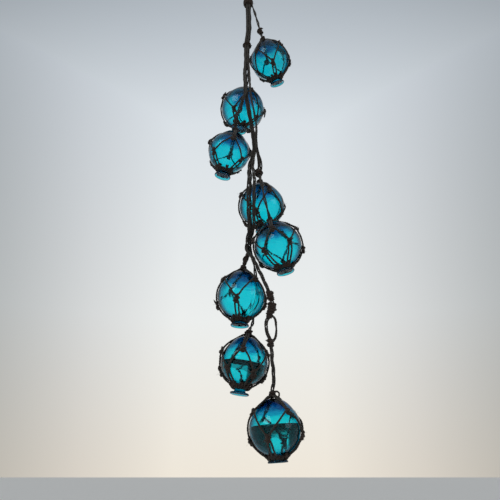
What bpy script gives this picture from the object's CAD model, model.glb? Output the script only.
"""The string of netted glass float balls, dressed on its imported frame.

Each ball becomes a hollow blown shell with its pressed seal, two of them part full of water. Each net, cord
and knot becomes three-ply twine. Metres, +Z up; front is -Y and right is +X.
"""

import math
import random
from collections import namedtuple

import bpy
import numpy as np
from mathutils import Matrix, Vector


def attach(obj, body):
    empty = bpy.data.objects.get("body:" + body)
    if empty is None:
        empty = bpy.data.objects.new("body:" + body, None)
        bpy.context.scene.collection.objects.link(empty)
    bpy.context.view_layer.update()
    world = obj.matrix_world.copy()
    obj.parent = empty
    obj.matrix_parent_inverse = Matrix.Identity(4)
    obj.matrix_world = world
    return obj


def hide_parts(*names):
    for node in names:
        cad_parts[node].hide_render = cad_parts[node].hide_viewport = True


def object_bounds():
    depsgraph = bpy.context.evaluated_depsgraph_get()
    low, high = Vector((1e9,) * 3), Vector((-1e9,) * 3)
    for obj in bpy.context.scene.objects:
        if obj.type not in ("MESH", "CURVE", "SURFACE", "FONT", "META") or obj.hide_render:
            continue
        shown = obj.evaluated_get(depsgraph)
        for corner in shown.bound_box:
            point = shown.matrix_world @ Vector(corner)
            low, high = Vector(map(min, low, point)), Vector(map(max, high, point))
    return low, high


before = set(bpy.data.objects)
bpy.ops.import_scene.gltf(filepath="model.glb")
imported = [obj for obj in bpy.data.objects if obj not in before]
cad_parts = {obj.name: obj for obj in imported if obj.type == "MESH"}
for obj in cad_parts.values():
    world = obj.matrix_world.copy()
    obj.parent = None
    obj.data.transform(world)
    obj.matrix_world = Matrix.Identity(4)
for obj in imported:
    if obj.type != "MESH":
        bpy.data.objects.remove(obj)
cad_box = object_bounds()

# The string's sizes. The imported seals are 25.5 mm wide, and the dressed ones are 28.5 mm, as the photograph
# has them. The rest are the same in both
FLOAT_DIAMETER = 0.075
NECK_DIAMETER = 0.017
SEAL_DIAMETER = 0.0285
SEAL_THICKNESS = 0.0034
TWINE_DIAMETER = 0.0032
CLEARANCE = 0.0003
CORD_SPACING = TWINE_DIAMETER + 0.0006
NET_KNOT_DIAMETER = 0.0052
GATHER_KNOT_DIAMETER = 0.0105
CORD_KNOT_DIAMETER = 0.0100
CORD_KNOT_LENGTH = 0.014

# Over this ball the bundle parts: each slot's place across it there, right and back, in cord spacings
FANNED_BALL = 2
FANNED = {
    0: (-0.32, 0.00),
    1: (1.42, 0.00),
    3: (-0.84, 1.29),
    4: (-1.37, 0.00),
    5: (-0.75, -1.30),
    6: (1.32, -1.30),
}

GATHER_RISE = 0.0100
KNOT_STRAY = 4.0
NET_STEP = 24.5
TOP_KNOT_DIAMETER = 0.020
TOP_KNOT_HEIGHT = 0.020
LOOP_HEIGHT = 0.046
LOOP_WIDTH = 0.024
LOOP_ROPE_DIAMETER = 0.0055
LOOP_FEET = 0.0085
BINDING_LENGTH = 0.0083
SIDE_LOOP_BULGE = 0.0016

Ball = namedtuple("Ball", "wider gap side back lean tip neck columns turn upper lower")
BALLS = (
    Ball(0.0002, 0.1170, 16.5, 5.4, 17, 19, 0.0090, 5, 38, 29, -28),
    Ball(0.0056, 0.0398, -25.2, 4.0, -8, 0, 0.0070, 4, 20, 22, -37),
    Ball(-0.0030, 0.0429, -10.4, -13.8, -13.5, 6, 0.0090, 4, 10, 22, -24),
    Ball(0.0028, 0.0290, 30.8, 16.8, 3, 0, 0.0070, 4, 23, 21, -32),
    Ball(0.0004, 0.0204, 13.0, -22.9, 14, 0, 0.0055, 5, -12, 24, -16),
    Ball(0.0000, 0.0148, -35.9, 14.5, -3, 0, 0.0070, 4, 34, 32, -19),
    Ball(-0.0036, 0.0194, 2.6, 6.8, -8.5, 0, 0.0088, 5, -2, 25, -24),
    Ball(-0.0010, 0.0243, 24.7, -7.1, 3.8, 0, 0.0042, 4, 27, 34, -15),
)

# The cords' routes: (ball, right, back, up), an offset in reaches from that ball, or from the top knot for 0
BUNDLE = (
    (0, 0.02, -0.04, -0.90),
    (0, 0.02, -0.06, -1.70),
    (1, -0.93, -0.40, 0.42),
    (1, -0.93, -0.50, -0.54),
    (2, 0.14, -0.68, 1.06),
    (2, 0.16, -0.92, 0.46),
    (2, 0.18, -1.04, -0.20),
    (2, 0.28, -1.04, -0.90),
    (2, 0.38, -0.84, -1.44),
    (3, 0.93, -0.28, 0.50),
    (3, 0.96, -0.24, -0.04),
)

Cord = namedtuple("Cord", "ball slot shared own knots")
CORDS = (
    Cord(1, None, 0, ((0, 0.28, -0.02, -0.62), (0, 0.44, -0.04, -1.40), (0, 0.49, -0.05, -1.71)), (2,)),
    Cord(2, 2, 4, ((2, 0.19, -0.50, 1.18),), ()),
    Cord(3, 5, 7, ((2, 0.03, -1.16, -0.48), (2, -0.06, -0.98, -0.84), (3, 0.24, -0.42, 1.34)), ()),
    Cord(4, 1, 11, ((4, -0.03, -0.43, 1.50),), ()),
    Cord(5, 6, 11, (
        (4, -0.11, -0.68, 1.34),
        (4, -0.12, -0.66, 0.96),
        (4, -0.02, -1.00, 0.26),
        (4, 0.06, -1.04, -0.30),
        (4, 0.14, -1.04, -0.66),
    ), (1,)),
    Cord(6, 0, 11, (
        (4, -0.31, -0.82, 1.14),
        (4, -0.26, -0.94, 0.44),
        (4, -0.28, -1.04, -0.14),
        (4, -0.28, -1.02, -0.74),
        (4, -0.30, -0.84, -1.26),
        (5, -0.92, 0.35, 0.34),
        (5, -0.92, 0.46, 0.04),
        (6, 0.16, -0.02, 1.335),
    ), ()),
    Cord(7, 3, 11, (
        (4, -0.38, -0.62, 1.12),
        (4, -0.38, -0.86, 0.44),
        (4, -0.40, -0.96, -0.14),
        (4, -0.40, -0.94, -0.74),
        (4, -0.38, -0.74, -1.26),
        (5, -0.88, 0.54, 0.34),
        (5, -0.85, 0.66, 0.02),
        (6, 0.42, 0.52, 1.18),
        (6, 0.50, 1.00, 0.60),
        (6, 0.44, 1.04, 0.00),
        (6, 0.36, 0.88, -0.60),
    ), ()),
    Cord(8, 4, 11, (
        (4, -0.43, -0.76, 1.12),
        (4, -0.45, -0.98, 0.42),
        (4, -0.47, -1.06, -0.14),
        (4, -0.46, -1.04, -0.74),
        (4, -0.44, -0.86, -1.26),
        (5, -0.99, 0.30, 0.34),
        (5, -1.00, 0.36, 0.04),
        (6, 0.36, -0.44, 1.14),
        (6, 0.54, -0.72, 0.62),
        (6, 0.78, -0.68, 0.06),
        (6, 0.94, -0.46, -0.36),
        (6, 0.87, -0.36, -0.68),
        (7, 0.68, -0.50, 1.04),
        (7, 0.82, -0.54, 0.50),
        (7, 0.86, -0.58, -0.06),
        (7, 0.90, -0.46, -0.56),
    ), (11, 13)),
)

# The photograph's viewpoint
CAMERA_PLACE = (0.0038, -0.7450, -0.9597)
CAMERA_TILT = 24.2
CAMERA_LENS = 36.0
CAMERA_SENSOR = 36.0

# The studio. SOFT_ANGLE is how wide a light looks, in radians
FLOOR_DROP = 0.20
FLOOR_REACH = 40.0
SOFT_ANGLE = 0.55
WHITE = (1.0, 1.0, 1.0)
DIM = (0.42, 0.43, 0.44)

# The surround's brightness from the viewer's side (0) to straight behind the object (1)
SURROUND = ((0.76, DIM), (0.89, WHITE))

# And from straight ahead (0) to either side (1)
SURROUND_SIDES = ((0.14, WHITE), (0.30, (0.80, 0.80, 0.81)), (0.44, (0.58, 0.59, 0.60)), (0.60, DIM))

# Blown glass
WALL = 0.0028
CAVITY_RISE = -0.0004
CROWN_RISE = 0.0040
SHELL_SIDES = 96
SHELL_BANDS = 44
SWIRL_DEPTH = 0.00030
STREAK_DEPTH = 0.00038
STREAKED_BALL = 6
BUBBLES = 7
GLASS_IOR = 1.50
GLASS_ABSORBS = (0.0, 0.912, 0.944)
GLASS_DENSITY = 900.0

# The flooded balls, in ball radii. line: how high the water stands over the middle. band: how deep the silt
# hangs under its surface, below 0 where there is hardly any. clear: how far right the clear patch is
Flood = namedtuple("Flood", "line band clear")
FLOODS = {7: Flood(-0.08, -0.03, -0.14), 8: Flood(0.10, 0.24, 0.12)}
WATER_GAP = 0.00006
WATER_IOR = 1.12
WATER_ABSORBS = (0.30, 0.86, 0.80)
WATER_DENSITY = 5.0

# The film of silt on one ball's water. ACROSS is its share of the surface's half width. BACK and FORWARD are
# its depth and its place towards the viewer, as shares of that. TOP and UNDER are below the water's level
FILMED_BALL = 7
FILM_ACROSS = 0.93
FILM_BACK = 0.42
FILM_FORWARD = 0.56
FILM_TOP = 0.0009
FILM_UNDER = 0.0012

# Twine
NET_TWINE = 0.00150
KNOT_TWINE = 0.00142
CORD_TWINE = 0.00135
PAIR_IN_BUNDLE = 0.00060
PAIR_ALONE = 0.00135
LAID_IN_THREE = (3, 6, 8)
THREE_ALONE = 0.00180
PAIR_PITCH = 0.062
TWINE_STEP = 0.0010
PLY_PITCH = 0.0115
PLY_SECTION = ((-56.0, 0.74), (-20.0, 1.0), (20.0, 1.0))
NET_GAP = 0.00018
KNOT_LIFT = 0.0009
KNOT_DROP = 0.0025
TENT_RISE = 0.0020

# Lumps and whippings along a ball's cord: (place among its own points, radius, length, turns)
LUMPS = {
    5: ((1.15, 0.0060, 0.013, 4),),
    6: ((7.1, 0.0040, 0.026, 9),),
    8: ((9.5, 0.0054, 0.018, 6), (10.45, 0.0066, 0.018, 6)),
}

# Loose ends that hang from a ball's net: (ball, towards the knot they leave, length)
TAILS = (
    (2, (0.95, -0.25, 0.15), 0.020),
    (2, (-0.95, -0.25, 0.20), 0.006),
    (4, (-0.97, -0.20, -0.10), 0.008),
    (8, (-0.70, -0.40, -0.55), 0.013),
)

# The small eye of twine beside one ball's gathering knot: (right, up) from the knot's foot
EYED_BALL = 8
EYE = ((0.002, 0.002), (0.0066, 0.0030), (0.0096, 0.0002), (0.0086, -0.0042), (0.0046, -0.0062))

Float = namedtuple("Float", "number ball radius centre turned")


# Places, as the frame has them


def aloft(height):
    return Vector((0.0, 0.0, height))


def stand_off(radius):
    return CLEARANCE + radius * (1 - math.cos(math.radians(NET_STEP / 2)))


def netted(radius):
    return radius + stand_off(radius) + TWINE_DIAMETER


def reach(radius):
    """How far from a ball's centre a bundle of seven cords lies on the knots of its net."""
    return radius + stand_off(radius) + NET_KNOT_DIAMETER + CLEARANCE + CORD_SPACING + TWINE_DIAMETER / 2


def top_knot_centre():
    return aloft(-(LOOP_HEIGHT + TOP_KNOT_HEIGHT / 2))


def hang_floats():
    floats = []
    above, above_reach = top_knot_centre(), 0.0
    for number, ball in enumerate(BALLS, start=1):
        radius = (FLOAT_DIAMETER + ball.wider) / 2
        own_reach = netted(radius) if floats else radius
        side, back = math.radians(ball.side), math.radians(ball.back)
        down = Vector((math.sin(side), math.cos(side) * math.sin(back), -math.cos(side) * math.cos(back)))
        tipped = Matrix.Rotation(math.radians(ball.tip), 4, "X")
        turned = tipped @ Matrix.Rotation(math.radians(-ball.lean), 4, "Y")
        centre = above + down * (above_reach + ball.gap + own_reach)
        floats.append(Float(number, ball, radius, centre, turned))
        above, above_reach = centre, netted(radius)
    return floats


def beside(floats, point):
    """A point of a cord's route in space."""
    number, right, back, up = point
    centre = floats[number - 1].centre if number else top_knot_centre()
    radius = floats[number - 1].radius if number else FLOAT_DIAMETER / 2
    return centre + Vector((right, back, up)) * reach(radius)


def slot_offset(slot):
    """The place of one cord across the bundle: one in the middle and six round it."""
    if not slot:
        return aloft(0.0)
    angle = math.radians(60 * (slot - 1))
    return Vector((math.cos(angle), math.sin(angle), 0.0)) * CORD_SPACING


def across_bundle(slot, point):
    """The place of one cord across the bundle at a point of its route."""
    if point[0] != FANNED_BALL:
        return slot_offset(slot)
    right, back = FANNED[slot]
    return Vector((right, back, 0.0)) * CORD_SPACING


def gather_top(item):
    rise = item.radius + GATHER_RISE + GATHER_KNOT_DIAMETER / 2
    return item.centre + item.turned @ aloft(rise)


def cord_route(floats, cord):
    """A cord's points from inside the top knot to inside the knot on its ball."""
    below_knot = top_knot_centre() - aloft(TOP_KNOT_HEIGHT / 2 + CLEARANCE)
    outside = Vector((2 * CORD_SPACING + CLEARANCE, 0.0, 0.0))
    first = below_knot + (slot_offset(cord.slot) if cord.shared else outside)
    shared = [beside(floats, point) + across_bundle(cord.slot, point) for point in BUNDLE[: cord.shared]]
    own = [beside(floats, point) for point in cord.own]
    end = gather_top(floats[cord.ball - 1])
    towards = (own[-1] - end).normalized()
    return [first, *shared, *own, end + towards * (CLEARANCE + TWINE_DIAMETER / 4)]


# Lengths and curves


def smooth(points, fineness=24):
    """A fine polyline on a curve through the points."""
    points = np.array([tuple(point) for point in points])
    ends = np.vstack((2 * points[0] - points[1], points, 2 * points[-1] - points[-2]))
    t = (np.arange(fineness) / fineness)[:, None]
    fine = []
    for before, start, end, after in zip(ends, ends[1:], ends[2:], ends[3:]):
        bend = 2 * before - 5 * start + 4 * end - after
        turn = 3 * (start - end) + after - before
        fine.append(0.5 * (2 * start + (end - before) * t + bend * t**2 + turn * t**3))
    return np.vstack([*fine, points[-1:]])


def run_of(points):
    """The length along a polyline at each of its points."""
    return np.concatenate(([0.0], np.cumsum(np.linalg.norm(np.diff(points, axis=0), axis=1))))


def spaced(points, step):
    """Evenly spaced points along a polyline."""
    run = run_of(points)
    at = np.linspace(0.0, run[-1], max(3, int(run[-1] / step) + 1))
    return np.column_stack([np.interp(at, run, points[:, axis]) for axis in range(3)])


def relaxed(points, rounds):
    """The same polyline with its corners eased and its ends kept."""
    for _ in range(rounds):
        points[1:-1] = (points[:-2] + 2 * points[1:-1] + points[2:]) / 4
    return points


def eased(value, low, high):
    """0 below low, 1 above high and smooth between."""
    t = np.clip((value - low) / (high - low), 0.0, 1.0)
    return t * t * (3 - 2 * t)


def anywhere(chance):
    """A vector of three random draws."""
    return Vector([chance.uniform(-1, 1) for _ in range(3)])


def as_hung(item, local):
    """Points in a ball's own space, moved to where and how the ball hangs."""
    return local @ np.array(item.turned.to_3x3()).T + np.array(item.centre)


def carried(points):
    """Along, side and up at each point, with no twist from one to the next."""
    along = np.gradient(points, axis=0)
    along /= np.linalg.norm(along, axis=1)[:, None]
    side = np.empty_like(along)
    first = np.cross(along[0], (0.0, 0.0, 1.0) if abs(along[0, 2]) < 0.9 else (1.0, 0.0, 0.0))
    side[0] = first / np.linalg.norm(first)
    for k in range(1, len(points)):
        turned = side[k - 1] - along[k] * side[k - 1].dot(along[k])
        side[k] = turned / math.sqrt(turned.dot(turned))
    return along, side, np.cross(along, side)


class Twines:
    """Lengths of three-ply twine and loose fibres, gathered into one mesh."""

    def __init__(self, seed):
        self.chance = random.Random(seed)
        self.corners = []
        self.lay_marks = []
        self.faces = []
        self.kinds = []
        self.count = 0

    def tube(self, path, angles, shares, radii, twist, kind):
        """Sweeps a section along the path. angles and shares give the section's corners."""
        along, side, up = carried(path)
        run = run_of(path)
        turn = angles[None, :] + (twist * run)[:, None]
        out = radii[:, None] * shares[None, :]
        cos, sin = out * np.cos(turn), out * np.sin(turn)
        corners = path[:, None] + cos[..., None] * side[:, None] + sin[..., None] * up[:, None]
        marks = np.empty((len(path), len(angles), 3))
        marks[..., 0] = (run + self.chance.uniform(0.0, 5.0))[:, None] * 100
        marks[..., 1] = np.cos(angles)[None, :]
        marks[..., 2] = np.sin(angles)[None, :]
        self.corners.append(corners.reshape(-1, 3))
        self.lay_marks.append(marks.reshape(-1, 3))
        around, rings = len(angles), len(path)
        first = self.count + np.arange(rings - 1)[:, None] * around + np.arange(around)[None, :]
        after = np.roll(first, -1, axis=1)
        quads = np.stack((first, after, after + around, first + around), axis=-1).reshape(-1, 4)
        self.faces += quads.tolist()
        last = self.count + (rings - 1) * around
        self.faces.append(list(range(self.count + around - 1, self.count - 1, -1)))
        self.faces.append(list(range(last, last + around)))
        self.kinds += [kind] * (len(quads) + 2)
        self.count += around * rings

    def lay(self, points, radius, kind=0, wander=0.00010, ease=2, taper=0.0):
        """One length of twine through the points. taper thins its last part, as a worn end does."""
        path = relaxed(spaced(np.array([tuple(point) for point in points], float), TWINE_STEP), ease)
        steps = np.arange(len(path)) * TWINE_STEP
        for axis in range(3):
            waves = [(self.chance.uniform(60, 420), self.chance.uniform(0, 6.28)) for _ in range(3)]
            path[:, axis] += wander * sum(np.sin(wave * steps + phase) for wave, phase in waves)
        swell = self.chance.uniform(0, 6.28)
        radii = radius * (1 + 0.05 * np.sin(330 * steps + swell) + 0.03 * np.sin(910 * steps + 2 * swell))
        if taper:
            radii *= np.clip((steps[-1] - steps) / taper, 0.25, 1.0)
        angles = np.radians([ply * 120 + corner for ply in range(3) for corner, _ in PLY_SECTION])
        shares = np.array([share for _, share in PLY_SECTION] * 3)
        self.tube(path, angles, shares, radii, 2 * math.pi / PLY_PITCH * (0.0013 / radius) ** 0.5, kind)

    def fibre(self, start, towards, length):
        """One loose hair of the twine, curling away from it."""
        curl = [anywhere(self.chance) * 0.6 for _ in range(2)]
        points = [start, start + towards * length * 0.3]
        points.append(points[-1] + (towards + curl[0]).normalized() * length * 0.35)
        points.append(points[-1] + (towards + curl[0] + curl[1]).normalized() * length * 0.35)
        path = smooth(points, 4)
        radii = np.linspace(0.00016, 0.00007, len(path))
        self.tube(path, np.radians([0.0, 120.0, 240.0]), np.ones(3), radii, 0.0, 0)

    def hairs(self, path, count, margin, longest):
        """Loose hairs anywhere along a path."""
        for _ in range(count):
            at = self.chance.randrange(margin, len(path) - margin)
            away = anywhere(self.chance).normalized()
            self.fibre(Vector(path[at]), away, self.chance.uniform(0.006, longest))

    def knot(self, centre, axis, out, across, deep, length, turns, radius, locked=True, tag=0.0, flat=1.0):
        """A coil of twine round an oval, locked by one slanting turn over it that may leave a short end."""
        axis, out = Vector(axis).normalized(), Vector(out)
        out = (out - axis * out.dot(axis)).normalized()
        side = axis.cross(out)
        phase = self.chance.uniform(0, 2 * math.pi)
        points = []
        parts = max(12, int(turns * 14))
        for k in range(parts + 1):
            t = k / parts
            angle = phase + 2 * math.pi * turns * t
            swell = 0.88 + 0.14 * math.sin(math.pi * t)
            place = centre + axis * (length - 2 * radius) * (t - 0.5)
            place += side * across * swell * math.cos(angle)
            points.append(place + out * deep * swell * math.sin(angle))
        if locked:
            for k in range(1, 19):
                t = k / 18
                angle = phase + 2 * math.pi * (turns + 1.15 * t)
                more = radius * 1.2 * min(1.0, 4 * t)
                place = centre + axis * (length - 2 * radius) * (0.5 - 0.92 * t)
                lift = max(-deep, (deep + more * flat) * math.sin(angle))
                points.append(place + side * (across + more) * math.cos(angle) + out * lift)
        if tag:
            away = (points[-1] - points[-2]).normalized()
            leaving = (points[-1] - centre).normalized()
            points.append(points[-1] + (away + leaving * 0.3).normalized() * tag * 0.5)
            points.append(points[-1] + (away + leaving * 0.8).normalized() * tag * 0.5)
        self.lay(points, radius, 1, 0.00006, 1, tag * 0.6)

    def piece(self, name, materials, item=None):
        """The gathered mesh as an object. With an item, it was gathered in that ball's own space."""
        corners = np.vstack(self.corners)
        if item is not None:
            corners = as_hung(item, corners)
        mesh = bpy.data.meshes.new(name)
        mesh.from_pydata(corners, [], self.faces)
        for each in materials:
            mesh.materials.append(each)
        mesh.polygons.foreach_set("material_index", self.kinds)
        marks = mesh.attributes.new("lay", "FLOAT_VECTOR", "POINT")
        marks.data.foreach_set("vector", np.vstack(self.lay_marks).ravel())
        mesh.shade_smooth()
        return placed(name, mesh)


def placed(name, data):
    made = bpy.data.objects.new(name, data)
    bpy.context.scene.collection.objects.link(made)
    return made


def dressed(piece, slot, *nodes):
    """The piece rides on the object and stands for these nodes."""
    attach(piece, "root")
    if nodes:
        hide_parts(*nodes)


# Materials


class Nodes:
    """A short way to write a node tree."""

    def __init__(self, tree):
        self.tree = tree

    def feed(self, socket, value):
        """Links the value into the socket, or sets it there if it is a plain one."""
        if isinstance(value, bpy.types.NodeSocket):
            self.tree.links.new(value, socket)
        else:
            socket.default_value = value

    def fill(self, node, **inputs):
        for name, value in inputs.items():
            self.feed(node.inputs[name.replace("_", " ")], value)

    def add(self, kind, settings=None, **inputs):
        node = self.tree.nodes.new(kind)
        for name, value in (settings or {}).items():
            setattr(node, name, value)
        self.fill(node, **inputs)
        return node

    def attribute(self, name, output):
        return self.add("ShaderNodeAttribute", {"attribute_name": name}).outputs[output]

    def place(self, output="Object"):
        return self.add("ShaderNodeTexCoord").outputs[output]

    def ramp(self, factor, stops):
        node = self.add("ShaderNodeValToRGB", None, Fac=factor)
        elements = node.color_ramp.elements
        while len(elements) < len(stops):
            elements.new(0.5)
        for element, (place, colour) in zip(elements, stops):
            element.position = place
            element.color = (*colour, 1.0)
        return node.outputs["Color"]

    def ranged(self, value, low, high, **inputs):
        """The value's place between low and high."""
        inputs.update(Value=value, From_Min=low, From_Max=high)
        return self.add("ShaderNodeMapRange", None, **inputs).outputs["Result"]

    def noise(self, vector, scale, detail=3.0, roughness=0.55, distortion=0.0):
        node = self.add("ShaderNodeTexNoise", None, Vector=vector, Scale=scale, Detail=detail)
        self.fill(node, Roughness=roughness, Distortion=distortion)
        return node.outputs["Fac"]

    def math(self, operation, *values):
        node = self.add("ShaderNodeMath", {"operation": operation})
        for socket, value in zip(node.inputs, values):
            self.feed(socket, value)
        return node.outputs[0]

    def drawn_out(self, vector, up):
        """The vector with its height scaled."""
        return self.add("ShaderNodeMapping", None, Vector=vector, Scale=(1.0, 1.0, up)).outputs["Vector"]

    def bump(self, shader, height, strength, distance):
        node = self.add("ShaderNodeBump", None, Strength=strength, Distance=distance, Height=height)
        self.fill(shader, Normal=node.outputs["Normal"])

    def absorb(self, output, colour, density):
        """Colour that deepens with thickness."""
        node = self.add("ShaderNodeVolumeAbsorption", None, Color=(*colour, 1.0), Density=density)
        self.fill(output, Volume=node.outputs["Volume"])

    def mix(self, factor, first, second, blend="MIX"):
        node = self.add("ShaderNodeMix", {"data_type": "RGBA", "blend_type": blend})
        colours = [socket for socket in node.inputs if socket.type == "RGBA"]
        for socket, value in zip((node.inputs[0], *colours), (factor, first, second)):
            self.feed(socket, value)
        return next(socket for socket in node.outputs if socket.type == "RGBA")


def new_material(name):
    made = bpy.data.materials.new(name)
    made.use_nodes = True
    nodes = Nodes(made.node_tree)
    shader = made.node_tree.nodes["Principled BSDF"]
    output = made.node_tree.nodes["Material Output"]
    return made, nodes, shader, output


def twine_material(name, darks, pales, stain):
    """Weathered plant-fibre twine: fibres along each ply, darker in the grooves, stained in patches."""
    made, nodes, shader, _ = new_material(name)
    place = nodes.place()
    fibres = nodes.noise(nodes.attribute("lay", "Vector"), 4.2, 5.0, 0.68, 0.4)
    patches = nodes.noise(place, 46.0, 3.0, 0.6)
    colour = nodes.ramp(fibres, ((0.28, darks), (0.72, pales)))
    stained = nodes.ramp(patches, ((0.38, WHITE), (0.66, stain)))
    fuzz = nodes.noise(place, 2600.0, 2.0, 0.7)
    nodes.bump(shader, nodes.math("ADD", fibres, fuzz), 0.8, 0.00035)
    rough = nodes.ranged(fibres, 0.0, 1.0, To_Min=0.74, To_Max=0.98)
    nodes.fill(shader, Base_Color=nodes.mix(0.85, colour, stained, "MULTIPLY"), Roughness=rough)
    nodes.fill(shader, Sheen_Weight=0.25, Sheen_Roughness=0.5, Specular_IOR_Level=0.25)
    return made


def glass_material():
    """Turquoise blown glass. Its colour is in its depth, darker at the rims and in swirls over the crown."""
    made, nodes, shader, output = new_material("blown_glass")
    place = nodes.place()
    stretched = nodes.drawn_out(place, 2.6)
    streaks = nodes.noise(stretched, 34.0, 4.0, 0.6, 1.2)
    tint = nodes.ramp(streaks, ((0.30, (0.86, 0.97, 0.98)), (0.62, WHITE)))
    rim = nodes.add("ShaderNodeLayerWeight", None, Blend=0.5).outputs["Facing"]
    edge = nodes.ramp(rim, ((0.36, WHITE), (0.60, (0.10, 0.40, 0.54)), (0.86, (0.005, 0.06, 0.15))))
    tint = nodes.mix(1.0, tint, edge, "MULTIPLY")
    height = nodes.add("ShaderNodeSeparateXYZ", None, Vector=nodes.attribute("ball", "Vector")).outputs["Z"]
    swirls = nodes.noise(nodes.drawn_out(place, 4.0), 26.0, 5.0, 0.6, 2.0)
    crown = nodes.ranged(nodes.math("MULTIPLY_ADD", swirls, 0.75, height), 0.96, 1.30)
    top = nodes.ramp(crown, ((0.0, WHITE), (0.45, (0.16, 0.46, 0.70)), (1.0, (0.01, 0.13, 0.34))))
    nodes.fill(shader, Base_Color=nodes.mix(1.0, tint, top, "MULTIPLY"))
    waves = nodes.noise(stretched, 70.0, 3.0, 0.5, 0.8)
    pits = nodes.noise(place, 900.0, 2.0, 0.6)
    nodes.bump(shader, nodes.math("MULTIPLY_ADD", pits, 0.06, waves), 0.35, 0.0006)
    nodes.fill(shader, Transmission_Weight=1.0, IOR=GLASS_IOR, Roughness=0.02)
    nodes.fill(shader, Specular_Tint=(0.55, 0.62, 0.66, 1.0))
    nodes.absorb(output, GLASS_ABSORBS, GLASS_DENSITY)
    return made


def water_material():
    """The water in a flooded ball: dark where silt hangs in it, and clear in one patch low down."""
    made, nodes, shader, output = new_material("trapped_water")
    cloudy = nodes.noise(nodes.place(), 70.0, 3.0, 0.6)
    uneven = nodes.math("MULTIPLY_ADD", cloudy, 0.36, nodes.attribute("silt", "Fac"))
    stops = ((0.0, WHITE), (0.5, (0.10, 0.28, 0.30)), (1.0, (0.005, 0.022, 0.022)))
    nodes.fill(shader, Base_Color=nodes.ramp(nodes.ranged(uneven, 0.32, 0.85), stops))
    nodes.fill(shader, Transmission_Weight=1.0, IOR=WATER_IOR, Roughness=0.0)
    nodes.absorb(output, WATER_ABSORBS, WATER_DENSITY)
    return made


def film_material():
    """Silt that floats on the water as a thin dark film."""
    made, nodes, shader, _ = new_material("silt_film")
    cloudy = nodes.noise(nodes.place(), 90.0, 3.0, 0.6)
    colour = nodes.ramp(cloudy, ((0.3, (0.003, 0.014, 0.015)), (0.7, (0.006, 0.026, 0.028))))
    nodes.fill(shader, Base_Color=colour, Roughness=0.7)
    return made


# Glass


def turned_faces(rings, sides, first=0, inward=False):
    """Faces of a surface turned about an axis, with a single point at each end."""
    faces = []
    top, bottom = first, first + 1 + rings * sides
    for k in range(sides):
        n = (k + 1) % sides
        faces.append((top, first + 1 + k, first + 1 + n))
        last = first + 1 + (rings - 1) * sides
        faces.append((bottom, last + n, last + k))
        for ring in range(rings - 1):
            here = first + 1 + ring * sides
            faces.append((here + k, here + sides + k, here + sides + n, here + n))
    return [face[::-1] for face in faces] if inward else faces


def turned_points(profile, sides):
    """Points of a surface turned about Z from (radius, height) pairs that start and end on the axis."""
    angles = np.arange(sides) * 2 * math.pi / sides
    rings = [np.array([[0.0, 0.0, profile[0][1]]])]
    for radius, height in profile[1:-1]:
        level = np.full(sides, height)
        rings.append(np.column_stack((radius * np.cos(angles), radius * np.sin(angles), level)))
    rings.append(np.array([[0.0, 0.0, profile[-1][1]]]))
    return np.vstack(rings)


def shell_profile(item):
    """The outside of a ball: the sphere, a short neck, and the pressed seal with its rings and dimple."""
    radius, neck, rim = item.radius, NECK_DIAMETER / 2, SEAL_DIAMETER / 2
    fillet = 0.0014
    last = math.pi - math.asin((neck + fillet) / radius)
    profile = []
    for band in range(SHELL_BANDS + 1):
        angle = last * band / SHELL_BANDS
        profile.append((radius * math.sin(angle), radius * math.cos(angle)))
    back = -radius - item.ball.neck
    face = back - SEAL_THICKNESS
    start = profile[-1][1]
    profile += [
        (neck + 0.0004, start - 0.0007),
        (neck, start - 0.0016),
        (neck, back + 0.0016),
        (neck + 0.0006, back + 0.0007),
        (neck + 0.0020, back + 0.0001),
        (rim - 0.0010, back - 0.0006),
    ]
    for angle in range(60, -91, -30):
        turn = math.radians(angle)
        lip = (back + face) / 2 - 0.0003 + (SEAL_THICKNESS / 2 - 0.0003) * math.sin(turn)
        profile.append((rim - 0.0010 + 0.0010 * math.cos(turn), lip))
    relief = ((0.86, 0.0002), (0.80, 0.0009), (0.70, 0.0011), (0.64, 0.0005), (0.57, 0.0004), (0.51, 0.0011))
    relief += ((0.40, 0.0012), (0.33, 0.0007), (0.26, 0.0008), (0.18, 0.0016), (0.09, 0.0021), (0.0, 0.0022))
    return profile + [(rim * share, face + depth) for share, depth in relief]


def crowned(points, item):
    """A ball's points with its crown drawn up a little, as the blowing leaves it."""
    points[:, 2] += CROWN_RISE * eased(points[:, 2] / item.radius, 0.58, 1.0)
    return points


def blown(points, item, chance):
    """Slow swells and swirled streaks in the outside of the ball, none on its neck and seal."""
    length = np.linalg.norm(points, axis=1)
    towards = points / length[:, None]
    on_ball = np.clip((towards[:, 2] + 0.93) / 0.15, 0.0, 1.0)
    around = np.arctan2(towards[:, 1], towards[:, 0])
    depth = np.zeros(len(points))
    for _ in range(4):
        turns, climb = chance.choice((1, 2, 3)), chance.uniform(2.0, 7.0)
        depth += np.sin(turns * around + climb * towards[:, 2] * 2 + chance.uniform(0, 6.28))
    fade = np.sqrt(np.clip(1 - towards[:, 2] ** 2, 0.0, 1.0))
    grown = points + towards * (SWIRL_DEPTH * (depth / 4 - 0.45) * fade * on_ball)[:, None]
    return crowned(grown, item)


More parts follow.
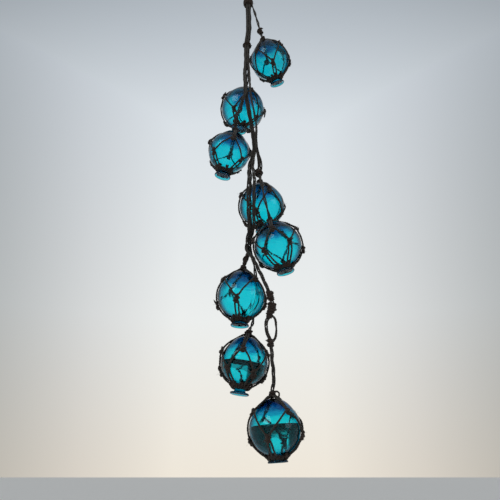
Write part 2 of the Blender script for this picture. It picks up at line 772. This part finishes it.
def streaked(points, item, chance):
    """Folds in the inside of the wall that run from crown to seal, deepest on one ball's right."""
    towards = points / np.linalg.norm(points, axis=1)[:, None]
    around = np.arctan2(towards[:, 0], -towards[:, 1])
    depth = np.zeros(len(points))
    for turns in (4, 7, 11):
        slant = chance.uniform(-1.5, 1.5)
        depth += np.sin(turns * around + slant * towards[:, 2] + chance.uniform(0, 6.28)) / 3
    if item.number == STREAKED_BALL:
        right = np.exp(-(((around - 0.75) / 0.35) ** 2))
        depth += 1.4 * np.sin(21 * around + 2.0 * towards[:, 2]) * right
    fade = np.clip(1.15 - np.abs(towards[:, 2]) * 1.15, 0.0, 1.0)
    return crowned(points + towards * (STREAK_DEPTH * depth * fade)[:, None], item)


def bubble(centre, radius):
    """A small hollow in the glass: its points, and how many rings they make."""
    profile = [(radius * math.sin(a), radius * math.cos(a)) for a in np.linspace(0.0, math.pi, 6)]
    return turned_points(profile, 8) + np.array(centre), 4


def add_shell(item, glass):
    """A hollow ball with its seal and a few bubbles. It marks each point's place in the ball, in radii."""
    chance = random.Random(100 + item.number)
    profile = shell_profile(item)
    points = [blown(turned_points(profile, SHELL_SIDES), item, chance)]
    faces = turned_faces(len(profile) - 2, SHELL_SIDES)
    count = len(points[0])
    cavity = item.radius - WALL
    inside = [(cavity * math.sin(a), cavity * math.cos(a)) for a in np.linspace(0.0, math.pi, SHELL_BANDS)]
    hollow = streaked(turned_points(inside, SHELL_SIDES), item, chance)
    points.append(hollow + np.array((0.0, 0.0, CAVITY_RISE)))
    faces += turned_faces(len(inside) - 2, SHELL_SIDES, count, inward=True)
    count += len(points[-1])
    for _ in range(BUBBLES):
        lift, around = chance.uniform(-0.85, 0.9), chance.uniform(0, 2 * math.pi)
        flat = math.sqrt(1 - lift * lift)
        towards = Vector((flat * math.cos(around), flat * math.sin(around), lift))
        size = chance.uniform(0.0002, 0.00045)
        places, rings = bubble(towards * (item.radius - WALL * 0.55), size)
        points.append(places)
        faces += turned_faces(rings, 8, count, inward=True)
        count += len(places)
    local = np.vstack(points)
    name = f"float_{item.number}_shell"
    mesh = bpy.data.meshes.new(name)
    mesh.from_pydata(as_hung(item, local), [], faces)
    marks = mesh.attributes.new("ball", "FLOAT_VECTOR", "POINT")
    marks.data.foreach_set("vector", (local / item.radius).ravel())
    mesh.materials.append(glass)
    mesh.shade_smooth()
    dressed(placed(name, mesh), "glass", f"float_{item.number}_glass")


def water_surface(item, flood):
    """The water's outer radius, and its level over the ball's middle."""
    return item.radius - WALL - WATER_GAP - STREAK_DEPTH, item.radius * flood.line


def sealed_in(item, kind, local, rings, material):
    """The name and the mesh of a turned piece inside a ball."""
    name = f"float_{item.number}_{kind}"
    mesh = bpy.data.meshes.new(name)
    mesh.from_pydata(as_hung(item, local), [], turned_faces(rings, SHELL_SIDES))
    mesh.materials.append(material)
    return name, mesh


def add_water(item, flood, water):
    """Water up to its line, with the low rim where it climbs the glass. It lies as the ball hangs."""
    radius, level = water_surface(item, flood)
    lowest = math.acos(level / radius)
    profile = [(0.0, level - 0.0006)]
    for share, climb in ((0.45, -0.0006), (0.75, -0.0005), (0.90, -0.0002), (0.965, 0.0002)):
        profile.append((radius * math.sin(lowest) * share, level + climb))
    for angle in np.linspace(lowest - 0.012, math.pi, 34):
        profile.append((radius * math.sin(angle), radius * math.cos(angle)))
    profile[-1] = (0.0, -radius)
    local = turned_points(profile, SHELL_SIDES) + np.array((0.0, 0.0, CAVITY_RISE))
    name, mesh = sealed_in(item, "water", local, len(profile) - 2, water)
    share = local / item.radius
    under = eased(share[:, 2], flood.line - flood.band - 0.10, flood.line - flood.band + 0.10)
    aside = eased(np.abs(share[:, 0] - flood.clear), 0.27, 0.42)
    silt = mesh.attributes.new("silt", "FLOAT", "POINT")
    silt.data.foreach_set("value", np.maximum(under, aside).ravel())
    mesh.shade_smooth()
    dressed(placed(name, mesh), "glass")


def add_film(item, flood, film):
    """The film of silt. It lies on the near side, just under the water's surface."""
    radius, level = water_surface(item, flood)
    wide = math.sqrt(radius**2 - level**2) * FILM_ACROSS
    profile = [(flat, level - down) for flat, down in ((0.0, FILM_TOP), (wide, FILM_TOP))]
    profile += [(flat, level - down) for flat, down in ((wide, FILM_UNDER), (0.0, FILM_UNDER))]
    local = turned_points(profile, SHELL_SIDES) * np.array((1.0, FILM_BACK, 1.0))
    local += np.array((0.0, -wide * FILM_FORWARD, CAVITY_RISE))
    out = np.hypot(local[:, 0], local[:, 1])
    local[:, :2] *= np.minimum(1.0, wide / np.maximum(out, 1e-9))[:, None]
    name, mesh = sealed_in(item, "silt", local, len(profile) - 2, film)
    dressed(placed(name, mesh), "glass")


# Nets


def direction(latitude, longitude):
    """A unit vector on the ball. Longitude is from the front towards the right."""
    lat, lon = math.radians(latitude), math.radians(longitude)
    return Vector((math.cos(lat) * math.sin(lon), -math.cos(lat) * math.cos(lon), math.sin(lat)))


def net_rows(item):
    """The directions of the two rows of knots, as the frame's net has them."""
    stray = random.Random(item.number)
    rows = []
    for latitude, shift in ((item.ball.upper, 0.0), (item.ball.lower, 0.5)):
        row = []
        for column in range(item.ball.columns):
            turn = item.ball.turn + 360 / item.ball.columns * (column + shift)
            up = latitude + stray.uniform(-KNOT_STRAY, KNOT_STRAY)
            row.append(direction(up, turn + stray.uniform(-KNOT_STRAY, KNOT_STRAY)))
        rows.append(row)
    return rows


def over_glass(item, towards, lift):
    """A point over the glass. Near the top the net leaves it for the gather, in a tent."""
    height = item.radius + lift
    tent = math.acos(height / (item.radius + GATHER_RISE + TENT_RISE))
    from_top = towards.angle(aloft(1.0))
    return towards * (height / math.cos(max(0.0, tent - from_top)))


def net_leg(item, start, end, sides, begin=0.0, parts=16):
    """Twine from one knot to another. sides: how far aside it lies at its start, middle and end."""
    pole = start.cross(end).normalized()
    arc = start.angle(end) * item.radius
    points = []
    for k in range(parts + 1):
        t = begin + (1 - begin) * k / parts
        near = min(t, 1 - t) * arc / 0.006
        lift = NET_GAP + NET_TWINE + KNOT_LIFT * math.exp(-near * near)
        aside = float(np.interp(t, (0.0, 0.22, 0.6, 1.0), (sides[0], sides[1], sides[1], sides[2])))
        points.append(over_glass(item, start.slerp(end, t), lift) + pole * aside)
    return points


def gather_points(item, longitude):
    """How a strand leaves the gathering knot at the top."""
    out = direction(0, longitude)
    top = item.radius + GATHER_RISE
    return [out * 0.0020 + aloft(top + 0.0042), out * 0.0022 + aloft(top), out * 0.0030 + aloft(top - 0.0030)]


def add_net(item, materials):
    twines = Twines(200 + item.number)
    chance = twines.chance
    upper, lower = net_rows(item)
    count = item.ball.columns
    neck_ring = NECK_DIAMETER / 2 + CLEARANCE + NET_TWINE
    ring_height = -math.sqrt((item.radius + NET_GAP + NET_TWINE) ** 2 - neck_ring**2)
    ring_latitude = math.degrees(math.atan2(ring_height, neck_ring + 0.0012))
    top = aloft(1.0)
    for k in range(count):
        for hand in (-1, 1):
            landing = lower[k] if hand > 0 else lower[k - 1]
            longitude = math.degrees(math.atan2(upper[k].x, -upper[k].y)) + hand * 20
            foot = math.degrees(math.atan2(landing.x, -landing.y)) - hand * 3
            wide = 0.00160 + chance.uniform(-0.0002, 0.0006)
            tail_wide = 0.0019 + chance.uniform(-0.0002, 0.0012)
            path = gather_points(item, longitude)
            path += net_leg(item, top, upper[k], (0.0006 * hand, wide * hand, 0.0008 * hand), begin=0.17)
            path += net_leg(item, upper[k], landing, (0.0008 * hand, 0.0003 * hand, -0.0008 * hand))[1:]
            tail = (-0.0008 * hand, -tail_wide * hand, -0.0018 * hand)
            path += net_leg(item, landing, direction(ring_latitude, foot), tail)[1:]
            twines.lay(path, NET_TWINE, 0, 0.00012, 3)
    for row, weight in ((upper, 1.0), (lower, 1.12)):
        for place in row:
            along = (top - place * top.dot(place)).normalized() * -1
            tilt = Matrix.Rotation(math.radians(chance.uniform(-16, 16)), 3, place)
            deep = 0.0011 * weight
            centre = place * (item.radius + NET_GAP + deep + KNOT_TWINE + 0.0002) + along * KNOT_DROP
            turns = chance.choice((3.5, 4, 4.5))
            tag = chance.choice((0.0, 0.0, 0.0, 0.0, 0.004, 0.006))
            length = turns * 2 * KNOT_TWINE * 1.04 + 2 * KNOT_TWINE
            across = 0.0023 * weight
            twines.knot(centre, tilt @ along, place, across, deep, length, turns, KNOT_TWINE, True, tag, 0.55)
            for _ in range(2):
                away = (place * 0.7 + anywhere(chance) * 0.8).normalized()
                twines.fibre(centre, away, chance.uniform(0.006, 0.010))
    add_neck_ring(twines, item, lower, neck_ring, ring_height)
    gather = aloft(item.radius + GATHER_RISE)
    twines.knot(gather, top, direction(0, chance.uniform(0, 360)), 0.0038, 0.0038, 0.0112, 3.2, 0.0015)
    for number, towards, length in TAILS:
        if number == item.number:
            add_tail(twines, item, (*upper, *lower), Vector(towards), length)
    if item.number == EYED_BALL:
        eye = [(right, -0.0050, item.radius + GATHER_RISE + up) for right, up in EYE]
        twines.lay(smooth(eye, 8), KNOT_TWINE, 1, 0.0001, 1)
    name = f"float_{item.number}_netting"
    dressed(twines.piece(name, materials, item), "net_twine", f"float_{item.number}_net")


def add_tail(twines, item, knots, towards, length):
    """A loose end that hangs from the knot nearest to a direction."""
    knot = max(knots, key=towards.dot)
    start = knot * (item.radius + NET_GAP + 2 * NET_TWINE)
    over = start + knot * 0.0030
    points = [start, over, over + Vector((0.0006, 0.0, -length / 2)), over + Vector((-0.0004, 0.0, -length))]
    twines.lay(smooth(points, 8), KNOT_TWINE, 1, 0.00015, 1, 0.004)


def add_neck_ring(twines, item, lower, radius, height):
    """Two turns of twine round the seal's neck, and the hitches that hold the net's tails to them."""
    chance = twines.chance
    points = []
    for k in range(73):
        angle = 2 * math.pi * k / 36
        points.append((radius * math.cos(angle), radius * math.sin(angle), height - 0.0021 * k / 72))
    twines.lay(points, NET_TWINE, 1, 0.00008, 1)
    for place in lower:
        for shift, size, out_by, up_by in (
            (-12, 1.05, 0.0010, 0.0),
            (12, 1.0, 0.0012, 0.0002),
            (40, 0.85, 0.0010, -0.0006),
            (-26, 0.9, 0.0042, 0.0030),
            (3, 1.0, 0.0046, 0.0034),
        ):
            turn = math.atan2(place.x, -place.y) + math.radians(shift + chance.uniform(-5, 5))
            out = Vector((math.sin(turn), -math.cos(turn), 0.0))
            centre = out * (radius + out_by) + aloft(height - 0.0008 + up_by)
            leaning = (out + aloft(-0.9)).normalized()
            around = aloft(1.0).cross(out)
            twines.knot(centre, around, leaning, 0.0030 * size, 0.0027 * size, 0.0070, 1.7, KNOT_TWINE, False)


# Cords


def paired(path, spread, pitch, phase, count=2):
    """Paths of strands that wind round each other along a path."""
    _, side, up = carried(path)
    run = run_of(path)
    for strand in range(count):
        turn = phase + 2 * math.pi * (run / pitch + strand / count)
        yield path + np.reshape(spread, (-1, 1)) * (np.cos(turn)[:, None] * side + np.sin(turn)[:, None] * up)


def add_cord(floats, cord, materials):
    twines = Twines(300 + cord.ball)
    chance = twines.chance
    route = cord_route(floats, cord)
    gather = floats[cord.ball - 1]
    route[0] = route[0] + aloft(0.004)
    route[-1] = gather.centre + gather.turned @ aloft(gather.radius + GATHER_RISE + 0.0030)
    fine = smooth(route)
    path = spaced(fine, TWINE_STEP)
    phase = chance.uniform(0, 6.28)
    fineness = (len(fine) - 1) // (len(route) - 1)
    leaves = run_of(fine)[cord.shared * fineness]
    alone = np.clip((np.arange(len(path)) * TWINE_STEP - leaves) / 0.03, 0.0, 1.0)
    wide, count = (THREE_ALONE, 3) if cord.ball in LAID_IN_THREE else (PAIR_ALONE, 2)
    spread = PAIR_IN_BUNDLE + (wide - PAIR_IN_BUNDLE) * alone
    for strand in paired(path, spread, PAIR_PITCH, phase, count):
        twines.lay(strand, CORD_TWINE, 0, 0.00012, 1)
    ties = [(knot, CORD_KNOT_DIAMETER / 2, CORD_KNOT_LENGTH, 4, 0.004) for knot in cord.knots]
    ties += [(*lump, 0.0) for lump in LUMPS.get(cord.ball, ())]
    for at, wide, length, turns, tag in ties:
        mark = int((1 + cord.shared + at) * fineness)
        axis = Vector(fine[mark + 2] - fine[mark - 2]).normalized()
        out = Vector((chance.uniform(-1, 1), -1.0, 0.2))
        core = wide - KNOT_TWINE
        twines.knot(Vector(fine[mark]), axis, out, core, core, length, turns, KNOT_TWINE, True, tag)
    twines.hairs(path, 3 + 2 * len(cord.own), 4, 0.011)
    name = f"float_{cord.ball}_strands"
    dressed(twines.piece(name, materials), "cord_twine", f"float_{cord.ball}_cord")


def add_side_loop(floats, cord, materials):
    """The second side of the small loop in the lowest ball's cord."""
    twines = Twines(390)
    upper, lower = (beside(floats, cord.own[knot]) for knot in cord.knots)
    beside_knot = Vector((CORD_KNOT_DIAMETER / 2 + TWINE_DIAMETER / 2 + 2 * CLEARANCE, 0.0, 0.0))
    bulge = beside_knot + Vector((SIDE_LOOP_BULGE, 0.0, 0.0))
    points = [upper, upper + beside_knot * 0.9 - aloft(0.006), upper.lerp(lower, 1 / 3) + bulge]
    points += [upper.lerp(lower, 2 / 3) + bulge, lower + beside_knot * 0.9 + aloft(0.006), lower]
    path = spaced(smooth(points), TWINE_STEP)
    for strand in paired(path, PAIR_IN_BUNDLE, PAIR_PITCH, 0.7):
        twines.lay(strand, CORD_TWINE, 0, 0.0001, 1)
    dressed(twines.piece("float_8_loop_strands", materials), "cord_twine", "float_8_cord_loop")


def add_binding(floats, materials):
    twines = Twines(400)
    centre = beside(floats, BUNDLE[2])
    hole = CORD_SPACING + TWINE_DIAMETER / 2 + 0.0006
    axis, out = (0.03, 0.02, 1.0), (0.3, -1.0, 0.0)
    twines.knot(centre, axis, out, hole, hole, BINDING_LENGTH, 2.6, 0.0013, True, 0.005)
    dressed(twines.piece("bundle_wraps", materials), "cord_twine", "bundle_binding")


def add_top_knot(materials):
    """All the cords tied in one fat knot: a core, wraps round it, and turns that cross over them."""
    twines = Twines(410)
    centre = top_knot_centre()
    half = TOP_KNOT_HEIGHT / 2
    for k in range(7):
        angle = 2 * math.pi * k / 7
        points = []
        for part in range(9):
            t = part / 8
            turn = angle + 2.2 * t
            wide = 0.0030 + 0.0028 * math.sin(math.pi * t)
            rise = half * (1 - 2 * t) * 1.02
            points.append(centre + Vector((wide * math.cos(turn), wide * math.sin(turn), rise)))
        twines.lay(points, 0.0016, 0)
    wide = TOP_KNOT_DIAMETER / 2
    axis, out, core = (0.05, 0.04, 1.0), (0.0, -1.0, 0.0), wide - 0.0018
    twines.knot(centre, axis, out, core, core, 0.0190, 5.8, 0.0016, False)
    for slant, turn, rise in ((38, 20, 0.0018), (-34, 75, -0.0012), (30, 140, 0.0004), (-42, 200, 0.0)):
        tilt = Matrix.Rotation(math.radians(turn), 3, "Z") @ Matrix.Rotation(math.radians(slant), 3, "X")
        for strand in (-1, 0, 1):
            points = []
            for k in range(41):
                angle = 2 * math.pi * k / 40
                ring = Vector((math.cos(angle), math.sin(angle), 0.0)) * (wide - 0.0010)
                ring += aloft(strand * 0.0024)
                turned = tilt @ ring
                turned.z = max(-half + 0.0014, min(half - 0.0014, turned.z + rise))
                flat = math.hypot(turned.x, turned.y)
                limit = wide - 0.0006
                if flat > limit:
                    turned.x, turned.y = turned.x * limit / flat, turned.y * limit / flat
                points.append(centre + turned)
            twines.lay(points, 0.00125, 1, 0.0001, 2)
    for _ in range(10):
        away = anywhere(twines.chance).normalized()
        twines.fibre(centre + away * 0.006, away, twines.chance.uniform(0.008, 0.012))
    dressed(twines.piece("top_knot_wraps", materials), "cord_twine", "top_knot")


def add_hanging_loop(materials):
    """A teardrop of three strands laid up as rope, with its feet in the top knot."""
    twines = Twines(420)
    bend = LOOP_WIDTH / 2
    middle = LOOP_ROPE_DIAMETER / 2 - bend
    foot = CLEARANCE - LOOP_HEIGHT
    half = [Vector((LOOP_FEET / 2, 0.0, foot)), Vector((LOOP_FEET / 2, 0.0, foot + LOOP_ROPE_DIAMETER))]
    for angle in (-15, 15, 50):
        turn = math.radians(angle)
        half.append(Vector((bend * math.cos(turn), 0.0, middle + bend * math.sin(turn))))
    other = [Vector((-point.x, 0.0, point.z)) for point in reversed(half)]
    path = spaced(smooth([*half, aloft(middle + bend), *other]), TWINE_STEP)
    for strand in paired(path, 0.00138, 0.021, 0.4, 3):
        twines.lay(strand, 0.00135, 0, 0.00006, 1)
    twines.hairs(path, 6, 6, 0.009)
    dressed(twines.piece("loop_rope", materials), "cord_twine", "hanging_loop")


# Studio


def add_camera():
    data = bpy.data.cameras.new("camera")
    data.sensor_fit = "HORIZONTAL"
    data.sensor_width = CAMERA_SENSOR
    data.lens = CAMERA_LENS
    data.clip_start = 0.01
    data.clip_end = 200.0
    camera = placed("camera", data)
    camera.location = CAMERA_PLACE
    camera.rotation_euler = (math.radians(90 + CAMERA_TILT), 0.0, 0.0)
    bpy.context.scene.camera = camera


def add_floor(height):
    mesh = bpy.data.meshes.new("floor")
    ends = ((-1, -1), (1, -1), (1, 1), (-1, 1))
    mesh.from_pydata([(x * FLOOR_REACH, y * FLOOR_REACH, height) for x, y in ends], [], [(0, 1, 2, 3)])
    made, nodes, shader, _ = new_material("studio_floor")
    grain = nodes.noise(nodes.place(), 18.0, 4.0, 0.6)
    colour = nodes.ramp(grain, ((0.3, (0.88, 0.86, 0.83)), (0.7, (0.92, 0.90, 0.87))))
    nodes.fill(shader, Base_Color=colour, Roughness=0.85)
    mesh.materials.append(made)
    placed("floor", mesh)


def add_sun(name, place, strength, colour):
    """A far light, as wide as a big soft studio lamp. It shines from its place to the origin."""
    data = bpy.data.lights.new(name, "SUN")
    data.angle = SOFT_ANGLE
    data.energy = strength
    data.color = colour
    lamp = placed(name, data)
    lamp.location = place
    lamp.rotation_euler = (-Vector(place)).to_track_quat("-Z", "Y").to_euler()


def add_light():
    """A pale sky all round, warmer near the horizon, and two big soft lights."""
    world = bpy.data.worlds.new("pale_surround")
    world.use_nodes = True
    bpy.context.scene.world = world
    nodes = Nodes(world.node_tree)
    apart = nodes.add("ShaderNodeSeparateXYZ", None, Vector=nodes.place("Generated"))
    sky = ((0.0, (0.86, 0.80, 0.70)), (0.28, (0.84, 0.86, 0.85)), (0.75, (0.66, 0.72, 0.78)))
    colour = nodes.ramp(apart.outputs["Z"], sky)
    behind = nodes.ramp(nodes.ranged(apart.outputs["Y"], -1.0, 1.0), SURROUND)
    aside = nodes.ramp(nodes.math("ABSOLUTE", apart.outputs["X"]), SURROUND_SIDES)
    shade = nodes.mix(1.0, behind, aside, "DARKEN")
    background = world.node_tree.nodes["Background"]
    nodes.fill(background, Color=nodes.mix(1.0, colour, shade, "MULTIPLY"), Strength=1.0)
    add_sun("key", (-1.6, -1.9, 1.4), 0.55, (1.0, 0.97, 0.93))
    add_sun("fill", (1.9, -1.2, 0.3), 0.25, (0.93, 0.97, 1.0))


def main():
    floats = hang_floats()
    add_camera()
    stain = (0.60, 0.55, 0.52)
    net_twine = twine_material("net_twine", (0.015, 0.0125, 0.010), (0.070, 0.058, 0.046), stain)
    cord_twine = twine_material("cord_twine", (0.017, 0.0145, 0.012), (0.076, 0.065, 0.053), stain)
    knot_twine = twine_material(
        "knotted_twine", (0.015, 0.009, 0.007), (0.070, 0.042, 0.029), (0.60, 0.52, 0.47)
    )
    glass = glass_material()
    water = water_material()
    for item in floats:
        add_shell(item, glass)
        add_net(item, (net_twine, knot_twine))
        if item.number in FLOODS:
            add_water(item, FLOODS[item.number], water)
        if item.number == FILMED_BALL:
            add_film(item, FLOODS[item.number], film_material())
    twines = (cord_twine, knot_twine)
    for cord in CORDS:
        add_cord(floats, cord, twines)
    add_side_loop(floats, CORDS[-1], twines)
    add_binding(floats, twines)
    add_top_knot(twines)
    add_hanging_loop(twines)
    add_floor(cad_box[0][2] - FLOOR_DROP)
    add_light()


main()
bpy.context.scene.view_settings.view_transform = "Standard"
